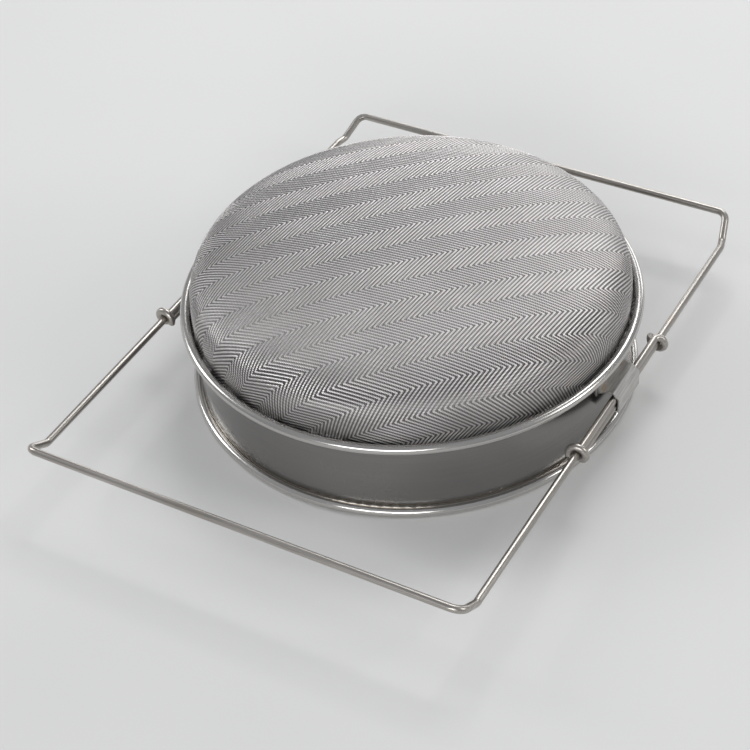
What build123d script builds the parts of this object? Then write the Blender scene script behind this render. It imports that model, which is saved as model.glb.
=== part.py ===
from build123d import *
import math
import os

# Round soil sieve standing on its open rim, domed mesh uppermost.
# Z up, origin at the centre of the rim's bottom plane, arms along Y. Millimetres.

SHEET = 0.6
RIM_R = 120.0
BEAD = 2.6
RIM_CORE = 1.95
BAND_R = RIM_R - 2 * BEAD + SHEET
SHELF_Z = 45.55
SHELF_R = 119.1

RING_R = 122.0
RING_Z = 47.4
RING_CORE = 1.2

MESH_T = 0.7
MESH_R = 115.6
DOME_H = 39.0
DOME_P = 1.8
DOME_Q = 5.0

WIRE = 2.0
PLAY = 0.3
LEG_X = 122.0
LOW_Z = 24.2
HIGH_Z = LOW_Z + 2 * WIRE + PLAY
EYE_R = 2 * WIRE + PLAY
FRONT_LEG = 216.6
REAR_LEG = 200.7
LEAD = 3.0
CORNER = 6.0
LEAN_AT = 130.5
REAR_LEAN = 5.0
BEND_R = 5.0
RISE_L = 14.3
RISE_H = 8.6
FRONT_OUT = 177.6
REAR_OUT = 150.2

CLIP_T = 0.8
CLIP_HALF = 12.5
CLIP_X = LEG_X + WIRE + PLAY + 0.2
CLIP_LOW = LOW_Z - WIRE - PLAY
CLIP_TOP = 32.4


def arc_points(x, z, r, start, end, n):
    """Points on an arc in the XZ plane, angles in degrees from +X towards +Z."""
    steps = [start + (end - start) * i / n for i in range(n + 1)]
    return [(x + r * math.cos(math.radians(a)), 0, z + r * math.sin(math.radians(a))) for a in steps]


def arc(x, z, r, start, end):
    return ThreePointArc(*arc_points(x, z, r, start, end, 2))


def spun(face):
    return revolve(face, Axis.Z, 360)


def curl_face(x, z, start, end):
    """Section of a sheet rolled round (x, z), open between its two ends."""
    outer = arc(x, z, BEAD, start, end)
    inner = arc(x, z, BEAD - SHEET, end, start)
    ends = [Line(outer @ 1, inner @ 0), Line(inner @ 1, outer @ 0)]
    return make_face([outer, ends[0], inner, ends[1]])


def make_band():
    """Straight wall, rolled open rim and the shelf that carries the mesh edge."""
    bead_x = RIM_R - BEAD
    inner = BAND_R - SHEET
    curl = spun(curl_face(bead_x, BEAD, 180, 496))
    bend = 2.0
    top = SHELF_Z + SHEET
    bend_x = inner + bend
    profile = [
        Line((inner, 0, BEAD), (BAND_R, 0, BEAD)),
        Line((BAND_R, 0, BEAD), (BAND_R, 0, top - bend)),
        arc(bend_x, top - bend, bend - SHEET, 180, 90),
        Line((bend_x, 0, SHELF_Z), (SHELF_R, 0, SHELF_Z)),
        Line((SHELF_R, 0, SHELF_Z), (SHELF_R, 0, top)),
        Line((SHELF_R, 0, top), (bend_x, 0, top)),
        arc(bend_x, top - bend, bend, 90, 180),
        Line((inner, 0, top - bend), (inner, 0, BEAD)),
    ]
    wall = spun(make_face(profile))
    layer = Pos(0, 0, 24.5) * (Cylinder(BAND_R + 0.45, 36) - Cylinder(BAND_R - 0.1, 36))
    lap = Rot(0, 0, 152) * (layer & Pos(BAND_R, 0, 24.5) * Box(9, 9, 36))
    return wall + curl + lap


def make_rim_wire():
    return Pos(0, 0, BEAD) * Torus(RIM_R - BEAD, RIM_CORE)


def make_mesh_ring():
    return spun(curl_face(RING_R - BEAD, RING_Z, -108, 160))


def make_ring_wire():
    return Pos(0, 0, RING_Z + 0.72) * Torus(RING_R - BEAD, RING_CORE)


def dome_point(t, radius, height, base):
    """A point on the dome's profile, t from 0 at the edge to 1 at the crown."""
    a = t * t * math.pi / 2
    r = radius * math.cos(a) ** (2 / DOME_P)
    z = height * math.sin(a) ** (2 / DOME_Q)
    return (r, 0, base + z)


def make_mesh_dome():
    base = SHELF_Z + SHEET
    n = 18
    outer = [dome_point(i / n, MESH_R, DOME_H, base + MESH_T) for i in range(n + 1)]
    inner = [dome_point(i / n, MESH_R - MESH_T, DOME_H, base) for i in range(n + 1)]
    outer[-1] = (0, 0, base + MESH_T + DOME_H)
    inner[-1] = (0, 0, base + DOME_H)
    edges = [
        Spline(*outer, tangents=[(0, 0, 1), (-1, 0, 0)]),
        Line(outer[-1], inner[-1]),
        Spline(*inner, tangents=[(0, 0, 1), (-1, 0, 0)]),
        Line(inner[0], (SHELF_R, 0, base)),
        Line((SHELF_R, 0, base), (SHELF_R, 0, base + MESH_T)),
        Line((SHELF_R, 0, base + MESH_T), outer[0]),
    ]
    return spun(make_face(edges))


def make_clip(side):
    """Folded clip on the band that the four arm legs run through, two on each side."""
    wall = CLIP_X + CLIP_T
    roof = CLIP_TOP + CLIP_T
    outside = [
        (112, roof),
        (wall - 3.4, roof),
        (wall, roof - 3.7),
        (wall, CLIP_LOW - CLIP_T),
        (118.2, CLIP_LOW - CLIP_T),
    ]
    inside = [
        (118.2, CLIP_LOW),
        (CLIP_X, CLIP_LOW),
        (CLIP_X, roof - 3.7 - 0.35),
        (wall - 3.4 - 0.35, CLIP_TOP),
        (112, CLIP_TOP),
    ]
    section = Polyline([(x, 0, z) for x, z in outside + inside], close=True)
    fold = extrude(make_face(section), CLIP_HALF, dir=(0, 1, 0), both=True)
    tab_half = CLIP_HALF + 4.5
    tab = Pos(0, 0, CLIP_TOP) * (Cylinder(BAND_R + 0.85, 7.6) - Cylinder(BAND_R + 0.05, 9))
    tab = Pos(0, 0, 3.8) * tab
    tab = tab & Pos(114, 0, 40) * Box(16, 2 * tab_half, 40)
    wing = Polyline([(112, tab_half), (118.5, CLIP_HALF), (118.5, -CLIP_HALF), (112, -tab_half)], close=True)
    web = Pos(0, 0, CLIP_TOP) * extrude(make_face(wing), CLIP_T, dir=(0, 0, 1))
    clip = (fold + web + tab) - Pos(0, 0, 30) * Cylinder(BAND_R + 0.05, 60)
    return Rot(0, 0, 0 if side > 0 else 180) * clip


def eye_points(leg_end, leg_z, turn):
    """Wire path round the other arm's leg: a short lead-in, a bend, then most of a turn.

    turn is +1 where the leg lies under the other one and -1 where it lies over it.
    """
    bend = 3.6
    points = []
    for i in range(7):
        a = math.radians(90 * i / 6)
        points.append((bend * (1 - math.cos(a)), bend * math.sin(a)))
    sweep_l = math.radians(292) * EYE_R
    n = 14
    for i in range(1, n + 1):
        u = bend + (sweep_l - bend) * i / n
        points.append((u, bend + 1.9 * i / n))
    axis_z = leg_z + turn * EYE_R
    path = [(LEG_X, leg_end - LEAD, leg_z), (LEG_X, leg_end - LEAD / 2, leg_z)]
    for u, v in points:
        a = u / EYE_R
        path.append((LEG_X + EYE_R * math.sin(a), leg_end + v, axis_z - turn * EYE_R * math.cos(a)))
    return path


def swept(path, start):
    section = Plane(origin=start, z_dir=path % 0) * Circle(WIRE)
    return sweep(section, path=path)


def round_bend(before, vertex, after, radius):
    """Arc that rounds the bend at a vertex, given the directions before and after it."""
    half_angle = math.radians(before.get_angle(after)) / 2
    cut = radius * math.tan(half_angle)
    inward = (after - before).normalized()
    middle = vertex + inward * (radius / math.cos(half_angle) - radius)
    return ThreePointArc(vertex - before * cut, middle, vertex + after * cut)


def make_arm(out, leg_l, leg_z, turn, lean):
    """One bent wire, its crossbar towards -Y and its two eyes inside of the far leg ends.

    Near its end each leg turns in by lean and then bends upwards once, and the corner
    lies in that sloping part.
    """
    eye_at = leg_l - out
    eye = eye_points(eye_at, leg_z, turn)
    leg_start = Vector(LEG_X, eye_at - LEAD, leg_z)
    lean_at = Vector(LEG_X, -LEAN_AT, leg_z)
    corner = Vector(LEG_X - lean, -out, leg_z + RISE_H)
    share = RISE_L / (out - LEAN_AT)
    rise_at = Vector(LEG_X - lean * (1 - share), RISE_L - out, leg_z)
    middle = Vector(0, -out, leg_z + RISE_H)
    level = Vector(0, -1, 0)
    leaning = (rise_at - lean_at).normalized()
    slope = (corner - rise_at).normalized()
    across = Vector(-1, 0, 0)
    bends = [
        round_bend(leaning, rise_at, slope, BEND_R),
        round_bend(slope, corner, across, CORNER),
    ]
    if lean > 0:
        bends.insert(0, round_bend(level, lean_at, leaning, 10))
    half_wire = swept(Spline(*eye), eye[0])
    at = leg_start
    for bend in bends:
        straight = Line(at, bend @ 0)
        half_wire = half_wire + swept(straight, at) + swept(bend, bend @ 0)
        at = bend @ 1
    half_wire = half_wire + swept(Line(at, middle), at)
    return half_wire + mirror(half_wire, about=Plane.YZ)


def save(name, shape):
    export_step(shape, os.path.join("parts", name + ".step"))
    solids = shape.solids()
    print(name, len(solids), "solid", round(sum(s.volume for s in solids), 1), "mm3")


os.makedirs("parts", exist_ok=True)
save("side_band", make_band())
save("rim_wire", make_rim_wire())
save("mesh_ring", make_mesh_ring())
save("ring_wire", make_ring_wire())
save("mesh_dome", make_mesh_dome())
save("bracket_right", make_clip(1))
save("bracket_left", make_clip(-1))
save("front_arm", make_arm(FRONT_OUT, FRONT_LEG, HIGH_Z, -1, 0))
save("rear_arm", Rot(0, 0, 180) * make_arm(REAR_OUT, REAR_LEG, LOW_Z, 1, REAR_LEAN))
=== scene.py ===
import bisect
import bpy
import math
from mathutils import Matrix, Vector


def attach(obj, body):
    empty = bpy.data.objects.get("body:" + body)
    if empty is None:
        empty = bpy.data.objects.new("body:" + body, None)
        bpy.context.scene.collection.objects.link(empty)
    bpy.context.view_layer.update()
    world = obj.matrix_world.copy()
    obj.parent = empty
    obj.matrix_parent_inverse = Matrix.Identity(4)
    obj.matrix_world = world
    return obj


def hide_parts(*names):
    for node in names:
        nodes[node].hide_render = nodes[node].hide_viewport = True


# Round steel sieve with sliding wire arms, standing on its open rim. Metres, Z up.

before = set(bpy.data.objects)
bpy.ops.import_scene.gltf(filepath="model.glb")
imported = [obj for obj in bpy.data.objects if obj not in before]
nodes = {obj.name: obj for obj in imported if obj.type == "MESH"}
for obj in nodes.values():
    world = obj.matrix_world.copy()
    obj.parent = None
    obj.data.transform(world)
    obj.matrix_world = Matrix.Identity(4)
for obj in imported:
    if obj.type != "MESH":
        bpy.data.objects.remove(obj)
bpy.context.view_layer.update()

MM = 0.001

# Wire cloth: warp wires run along the stripes, weft wires across them.
WARP = 0.575 * MM
WEFT = 0.71875 * MM
RIB = 4 * WEFT
WARPS_IN_STRIPE = 24
STRIPE = WARPS_IN_STRIPE * WARP
STRIPE_ANGLE = math.radians(44)
STRIPE_SHIFT = 5.8 * MM
RIB_SLOPE = WEFT / WARP
RIB_HEIGHT = 0.13 * MM
CLOTH_THICK = 0.42 * MM

# Dome: radius R cos(a)^(2/P) and height H sin(a)^(2/Q), from the crown to the flange.
DOME_R = 115.6 * MM
DOME_H = 39.0 * MM
DOME_P = 1.8
DOME_Q = 5.0
DOME_BASE = 46.55 * MM
FLANGE = 3.3 * MM

# The cloth's faces, and where its ribs flatten out before the flange.
PROFILE_STEPS = 600
ROWS_IN_STRIPE = 7
SAMPLES_IN_RIB = 4
RIBS_END = 0.4 * MM
RIBS_FADE = 2.0 * MM

# Band and clips: where their finish changes.
ROLLED_EDGE = 5.6 * MM
CLIP_TAB_X = 117.2 * MM
CLIP_WELD_Y = 10.5 * MM


# ---------------------------------------------------------------- shader maths

class Value:
    """A shader value. Arithmetic on it adds Math nodes to its material."""

    def __init__(self, finish, socket):
        self.finish = finish
        self.socket = socket

    def math(self, operation, *others):
        values = dict(enumerate((self, *others)))
        return self.finish.node("ShaderNodeMath", {"operation": operation}, values)

    def __add__(self, other):
        return self.math("ADD", other)

    def __sub__(self, other):
        return self.math("SUBTRACT", other)

    def __mul__(self, other):
        return self.math("MULTIPLY", other)

    def __truediv__(self, other):
        return self.math("DIVIDE", other)

    def __rsub__(self, other):
        settings = {"operation": "SUBTRACT"}
        return self.finish.node("ShaderNodeMath", settings, {0: other, 1: self})

    __radd__ = __add__
    __rmul__ = __mul__

    def floor(self):
        return self.math("FLOOR")

    def sin(self):
        return self.math("SINE")

    def cos(self):
        return self.math("COSINE")

    def size(self):
        return self.math("ABSOLUTE")

    def pingpong(self, scale):
        return self.math("PINGPONG", scale)

    def most(self, other):
        return self.math("MAXIMUM", other)

    def ramp(self, start, end):
        """0 at start and before it, 1 at end and past it, smooth between."""
        settings = {"interpolation_type": "SMOOTHSTEP"}
        return self.finish.node("ShaderNodeMapRange", settings, {0: self, 1: start, 2: end})


class Finish:
    """One material and the nodes that make it."""

    def __init__(self, name):
        self.material = bpy.data.materials.new(name)
        self.material.use_nodes = True
        self.tree = self.material.node_tree
        self.shader = self.tree.nodes["Principled BSDF"]

    def node(self, kind, settings, sockets, out=0):
        """Adds a node: its settings first, then its sockets, each by name or number."""
        made = self.tree.nodes.new(kind)
        for key, setting in settings.items():
            setattr(made, key, setting)
        for key, value in sockets.items():
            self.put(made.inputs[key], value)
        return Value(self, made.outputs[out])

    def put(self, socket, value):
        if isinstance(value, Value):
            self.tree.links.new(value.socket, socket)
        elif socket.type == "RGBA":
            socket.default_value = (*value, 1)
        else:
            socket.default_value = value

    def mix(self, share, one, two):
        """Colour one where share is 0, colour two where it is 1."""
        colours = {0: share, 6: one, 7: two}
        return self.node("ShaderNodeMix", {"data_type": "RGBA"}, colours, out=2)

    def spot(self):
        """The point's own coordinates."""
        return self.node("ShaderNodeTexCoord", {}, {}, out="Object")

    def split(self, vector):
        """The x, y and z of a vector."""
        x = self.node("ShaderNodeSeparateXYZ", {}, {"Vector": vector})
        return [Value(self, output) for output in x.socket.node.outputs]

    def joined(self, x, y, z):
        return self.node("ShaderNodeCombineXYZ", {}, {"X": x, "Y": y, "Z": z})

    def noise(self, at, scale, detail=3.0, rough=0.55):
        sockets = {"Vector": at, "Scale": scale, "Detail": detail, "Roughness": rough}
        return self.node("ShaderNodeTexNoise", {}, sockets)

    def bump(self, height, distance, strength):
        sockets = {"Height": height, "Distance": distance, "Strength": strength}
        return self.node("ShaderNodeBump", {}, sockets)

    def set(self, **sockets):
        for key, value in sockets.items():
            self.put(self.shader.inputs[key.replace("_", " ")], value)


# ---------------------------------------------------------------- finishes

def woven_cloth():
    """Stainless herringbone wire cloth: round warp and weft wires, two over and two under."""
    bright, clean, dusty = (0.97, 0.94, 0.932), (0.90, 0.868, 0.858), (0.80, 0.79, 0.78)
    # The two darkest colours are painted shade: one for the holes and dips between the wires, one
    # for the valleys between the ribs.
    hole_shade, valley_shade, turning = (0.02, 0.0195, 0.019), (0.045, 0.043, 0.041), (0.12, 0.115, 0.11)
    wave = 0.55
    f = Finish("herringbone_wire_cloth")
    along, across, _ = f.split(f.node("ShaderNodeUVMap", {"uv_map": "cloth"}, {}))
    v = along / WEFT
    u = (across + STRIPE_SHIFT) / WARP
    warp_no = u.floor() + 0.5
    weft_no = v.floor() + 0.5
    turn = u.pingpong(WARPS_IN_STRIPE)

    quarter = math.pi / 2
    warp_rise = ((v - warp_no.pingpong(WARPS_IN_STRIPE)) * quarter).sin()
    weft_rise = ((weft_no - turn) * quarter).sin() * -1.0
    warp_round = ((u - warp_no) * math.pi).cos()
    weft_round = ((v - weft_no) * math.pi).cos()
    top = (warp_rise * wave + warp_round).most(weft_rise * wave + weft_round)
    seen = top.ramp(0.6, 1.2)
    crest = ((v - turn) * quarter).sin().ramp(-0.9, 0.4)
    seam = turn.ramp(0.9, 0.1).most(turn.ramp(WARPS_IN_STRIPE - 0.9, WARPS_IN_STRIPE - 0.1))

    spot = f.spot()
    patch = f.noise(spot, 38.0, 2.0)
    speck = f.noise(spot, 900.0, 2.0)
    steel = f.mix(patch.ramp(0.35, 0.7), clean, bright)
    steel = f.mix(speck.ramp(0.5, 0.75) * 0.35, steel, dusty)
    # Painted shade: where no wire lies on top, the colour goes nearly black in the holes and dips
    # between the wires.
    colour = f.mix(seen, hole_shade, steel)
    # Painted shade: away from the crests of the twill ribs the colour is darkened towards near
    # black in the valleys.
    colour = f.mix(crest, f.mix(0.84, colour, valley_shade), colour)
    colour = f.mix(seam * 0.1, colour, turning)
    f.set(
        Base_Color=colour,
        Metallic=1.0,
        Roughness=0.44 - seen * 0.16 + patch * 0.08,
        Normal=f.bump(top, 0.16 * MM, 0.8),
    )
    return f.material


def sheet_steel(name, tone, shine, grain, rolled_below=None):
    """Sheet worked round a ring: fine lines run round it, with faint smears and small scratches.

    Below rolled_below the sheet is a rolled edge, shinier than the wall and painted brighter
    as a painted highlight, with a warm brownish line along the seam above it.
    """
    bead_highlight, seam_tint = (0.60, 0.585, 0.565), (0.30, 0.25, 0.18)
    dark = tuple(c * 0.92 for c in tone)
    warm = (tone[0] * 0.98, tone[1] * 0.93, tone[2] * 0.86)
    line_pitch = 900.0
    f = Finish(name)
    spot = f.spot()
    x, y, z = f.split(spot)
    angle = y.math("ARCTAN2", x)
    reach = (x * x + y * y).math("SQRT")
    lines = f.noise(f.joined(angle * 1.4, z * line_pitch, reach * line_pitch), 1.0, 4.0, 0.65)
    smear = f.noise(f.joined(angle * 3.0, z * 26.0, reach * 26.0), 1.0)
    cracks = {"Vector": spot, "Scale": 160.0}
    nicks = f.node("ShaderNodeTexVoronoi", {"feature": "DISTANCE_TO_EDGE"}, cracks)
    dull = nicks.ramp(0.02, 0.0) * smear.ramp(0.5, 0.7)
    colour = f.mix(lines.ramp(0.3, 0.75), dark, tone)
    colour = f.mix(smear.ramp(0.45, 0.8) * 0.25, colour, warm)
    rough = lines * grain + smear * 0.1 + dull * 0.1 + shine
    if rolled_below is not None:
        edge = z.ramp(rolled_below, rolled_below - 0.4 * MM)
        above = z.ramp(rolled_below + 0.9 * MM, rolled_below + 0.5 * MM)
        # Painted highlight: the rolled edge is painted brighter than the wall.
        colour = f.mix(edge, colour, bead_highlight)
        # A warm brownish line along the seam just above the rolled edge.
        colour = f.mix(above * (1.0 - edge) * 0.7, colour, seam_tint)
        rough = rough - edge * 0.07
    f.set(
        Base_Color=colour,
        Metallic=1.0,
        Roughness=rough,
        Normal=f.bump(lines * 0.8 + dull * 0.3, 0.004 * MM, 0.25),
    )
    return f.material


def drawn_wire():
    """Drawn wire: long streaks, a slightly warm tone, shinier and duller in places."""
    dark, bright, warm = (0.34, 0.32, 0.295), (0.56, 0.535, 0.505), (0.44, 0.375, 0.31)
    fine, long = 2600.0, 22.0
    f = Finish("drawn_steel_wire")
    spot = f.spot()
    x, y, z = f.split(spot)
    legs = f.noise(f.joined(x * fine, y * long, z * fine), 1.0)
    bars = f.noise(f.joined(x * long, y * fine, z * fine), 1.0)
    normal = f.node("ShaderNodeNewGeometry", {}, {}, out="Normal")
    facing = f.split(normal)[0].size()
    streak = bars + (legs - bars) * facing.ramp(0.05, 0.4)
    tint = f.noise(spot, 60.0)
    rub = f.noise(spot, 420.0, 4.0, 0.7)
    colour = f.mix(streak.ramp(0.3, 0.75), dark, bright)
    colour = f.mix(tint.ramp(0.5, 0.85) * 0.6, colour, warm)
    f.set(
        Base_Color=colour,
        Metallic=1.0,
        Roughness=0.2 + streak * 0.12 + rub * 0.12,
        Normal=f.bump(streak + rub * 0.6, 0.03 * MM, 0.5),
    )
    return f.material


def clip_steel():
    """Folded clip sheet: mill grain along Y, faint smudges, faint heat tint at the welds."""
    dark, bright = (0.46, 0.45, 0.435), (0.63, 0.62, 0.60)
    smudge, burnt = (0.40, 0.385, 0.365), (0.42, 0.31, 0.20)
    fine, long = 1400.0, 60.0
    f = Finish("clip_sheet_steel")
    spot = f.spot()
    x, y, z = f.split(spot)
    grain = f.noise(f.joined(x * fine, y * long, z * fine), 1.0, 4.0, 0.6)
    blot = f.noise(spot, 240.0)
    inward = (x.size() - CLIP_TAB_X).ramp(1.2 * MM, -1.2 * MM)
    near = (y.size() - CLIP_WELD_Y).size()
    heat = inward * near.ramp(4.2 * MM, 0.6 * MM)
    colour = f.mix(grain.ramp(0.3, 0.7), dark, bright)
    colour = f.mix(blot.ramp(0.5, 0.8) * 0.35, colour, smudge)
    colour = f.mix(heat * 0.4, colour, burnt)
    f.set(
        Base_Color=colour,
        Metallic=1.0,
        Roughness=0.26 + grain * 0.16 + blot * 0.1,
        Normal=f.bump(grain + blot * 0.8, 0.03 * MM, 0.6),
    )
    return f.material


# ---------------------------------------------------------------- pieces

class Dome:
    """The dome's profile by its arc length from the crown, with the flange at its end."""

    def __init__(self):
        self.lengths = [0.0]
        self.points = [(0.0, DOME_BASE + DOME_H)]
        for i in range(1, PROFILE_STEPS + 1):
            a = math.pi / 2 * (1 - i / PROFILE_STEPS) ** 2
            r = DOME_R * math.cos(a) ** (2 / DOME_P)
            z = DOME_BASE + DOME_H * math.sin(a) ** (2 / DOME_Q)
            last_r, last_z = self.points[-1]
            self.lengths.append(self.lengths[-1] + math.hypot(r - last_r, z - last_z))
            self.points.append((r, z))
        self.edge = self.lengths[-1]
        self.reach = self.edge + FLANGE
        r, z = self.points[-1]
        self.lengths.append(self.reach)
        self.points.append((r + FLANGE, z))

    def lay(self, along, across, lift):
        """The place on the dome of a point of the flat cloth, lifted off it."""
        s = math.hypot(along, across)
        s_in = min(s, self.reach)
        low = min(bisect.bisect_right(self.lengths, s_in), len(self.lengths) - 1) - 1
        s0, s1 = self.lengths[low], self.lengths[low + 1]
        (r0, z0), (r1, z1) = self.points[low], self.points[low + 1]
        t = (s_in - s0) / (s1 - s0)
        step = math.hypot(r1 - r0, z1 - z0)
        lift *= min(1.0, max(0.0, (self.edge + RIBS_END - s) / RIBS_FADE))
        r = r0 + (r1 - r0) * t + (z0 - z1) / step * lift
        z = z0 + (z1 - z0) * t + (r1 - r0) / step * lift
        if s == 0:
            return (0.0, 0.0, z)
        ax, ay = along / s, across / s
        c, d = math.cos(STRIPE_ANGLE), math.sin(STRIPE_ANGLE)
        return (r * (ax * c - ay * d), r * (ax * d + ay * c), z)


def rib_offset(across):
    """How far the ribs have moved along the stripe at this distance across the stripes."""
    place = (across + STRIPE_SHIFT) % (2 * STRIPE)
    return RIB_SLOPE * (STRIPE - abs(place - STRIPE))


def woven_dome():
    """The cloth as one sheet whose faces follow the ribs, raised and sunk into twill ribs."""
    dome = Dome()
    row_step = STRIPE / ROWS_IN_STRIPE
    column_step = RIB / SAMPLES_IN_RIB
    stripes = int(dome.reach / STRIPE) + 2
    start = -stripes * STRIPE - STRIPE_SHIFT
    most = dome.reach + RIB_SLOPE * STRIPE + RIB
    columns = int(2 * most / column_step)
    first = -(columns // 2) - int(RIB_SLOPE * STRIPE / column_step / 2)
    points, flats, numbers, faces = [], [], {}, []

    def flat(row, column):
        """Where a corner of the grid lies on the flat cloth: along and across the stripes."""
        across = start + row * row_step
        return (first + column) * column_step + rib_offset(across), across

    def point(row, column):
        """The number of a corner's point, which is made the first time it is asked for."""
        if (row, column) not in numbers:
            along, across = flat(row, column)
            phase = (first + column) * column_step
            lift = RIB_HEIGHT * math.sin(2 * math.pi * phase / RIB)
            s = math.hypot(along, across)
            if s > dome.reach:
                along *= dome.reach / s
                across *= dome.reach / s
            numbers[row, column] = len(points)
            points.append(dome.lay(along, across, lift))
            flats.append((along, across))
        return numbers[row, column]

    for row in range(2 * stripes * ROWS_IN_STRIPE):
        for column in range(columns):
            corners = [(row, column), (row, column + 1), (row + 1, column + 1), (row + 1, column)]
            if any(math.hypot(*flat(*corner)) < dome.reach for corner in corners):
                faces.append([point(*corner) for corner in corners])

    mesh = bpy.data.meshes.new("wire_cloth_dome")
    mesh.from_pydata(points, [], faces)
    layer = mesh.uv_layers.new(name="cloth")
    for loop in mesh.loops:
        layer.data[loop.index].uv = flats[loop.vertex_index]
    mesh.validate()
    mesh.polygons.foreach_set("use_smooth", [True] * len(mesh.polygons))
    piece = bpy.data.objects.new("wire_cloth_dome", mesh)
    bpy.context.scene.collection.objects.link(piece)
    shell = piece.modifiers.new("thickness", "SOLIDIFY")
    shell.thickness = CLOTH_THICK
    shell.offset = -1.0
    return piece


def dress(material, *names):
    """Gives carried-over nodes their finish."""
    for name in names:
        held = nodes[name].data.materials
        held.clear()
        held.append(material)


# ---------------------------------------------------------------- the sieve

CLOTH = woven_cloth()
BAND = sheet_steel("polished_band_steel", (0.27, 0.264, 0.258), 0.15, 0.07, ROLLED_EDGE)
RING = sheet_steel("rolled_ring_steel", (0.56, 0.548, 0.53), 0.14, 0.05)
WIRE = drawn_wire()
CLIP = clip_steel()

dome = woven_dome()
dome.data.materials.append(CLOTH)
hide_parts("mesh_dome")
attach(dome, "sieve")

dress(BAND, "side_band")
dress(RING, "mesh_ring")
dress(WIRE, "rim_wire", "ring_wire", "front_arm", "rear_arm")
dress(CLIP, "bracket_right", "bracket_left")


# ---------------------------------------------------------------- studio

FLOOR_HALF = 4.0
LIT_POINT = (0, 0, 0.05)
WHITE = (1, 1, 1)
WARM_WHITE = (1.0, 0.98, 0.95)
AIR_COLOUR = (0.62, 0.63, 0.65, 1)
AIR_STRENGTH = 0.6

LENS = 94.79
FILM = 36.0
CAMERA_AT = (0.4150, -0.6895, 0.7073)
CAMERA_AIM = (-0.0168, -0.0155, -0.0049)
CAMERA_ROLL = math.radians(-4.92)


def pale_floor():
    grey, pale = (0.70, 0.70, 0.695), (0.73, 0.73, 0.725)
    f = Finish("pale_floor")
    cloud = f.noise(f.spot(), 3.0, 2.0)
    f.set(Base_Color=f.mix(cloud.ramp(0.3, 0.7), grey, pale), Roughness=0.6)
    mesh = bpy.data.meshes.new("floor")
    w = FLOOR_HALF
    mesh.from_pydata([(-w, -w, 0), (w, -w, 0), (w, w, 0), (-w, w, 0)], [], [(0, 1, 2, 3)])
    mesh.materials.append(f.material)
    floor = bpy.data.objects.new("floor", mesh)
    bpy.context.scene.collection.objects.link(floor)


def softbox(name, at, width, height, power, tone):
    lamp = bpy.data.lights.new(name, "AREA")
    lamp.shape = "RECTANGLE"
    lamp.size = width
    lamp.size_y = height
    lamp.energy = power
    lamp.color = tone
    box = bpy.data.objects.new(name, lamp)
    box.location = at
    box.visible_camera = False
    facing = Vector(LIT_POINT) - Vector(at)
    box.rotation_euler = facing.to_track_quat("-Z", "Y").to_euler()
    bpy.context.scene.collection.objects.link(box)


def studio():
    pale_floor()
    softbox("back_box", (-0.15, 1.0, 1.3), 0.9, 0.5, 8.0, WHITE)
    softbox("low_back_box", (-0.5, 2.3, 0.55), 2.6, 0.8, 16.0, WHITE)
    softbox("front_box", (0.35, -1.5, 0.75), 1.1, 0.5, 9.5, WHITE)
    softbox("left_box", (-1.3, -0.1, 0.8), 0.4, 0.6, 5.0, WHITE)
    softbox("right_box", (1.25, 0.35, 0.8), 0.4, 0.6, 4.0, WARM_WHITE)
    air = bpy.data.worlds.new("studio_air")
    air.use_nodes = True
    sockets = air.node_tree.nodes["Background"].inputs
    sockets["Color"].default_value = AIR_COLOUR
    sockets["Strength"].default_value = AIR_STRENGTH
    bpy.context.scene.world = air
    bpy.context.scene.view_settings.view_transform = "Standard"


def camera():
    lens = bpy.data.cameras.new("camera")
    lens.lens = LENS
    lens.sensor_width = FILM
    eye = bpy.data.objects.new("camera", lens)
    at = Vector(CAMERA_AT)
    turn = (Vector(CAMERA_AIM) - at).to_track_quat("-Z", "Y").to_matrix().to_4x4()
    eye.matrix_world = Matrix.Translation(at) @ turn @ Matrix.Rotation(CAMERA_ROLL, 4, "Z")
    bpy.context.scene.collection.objects.link(eye)
    bpy.context.scene.camera = eye


studio()
camera()

bpy.context.view_layer.update()
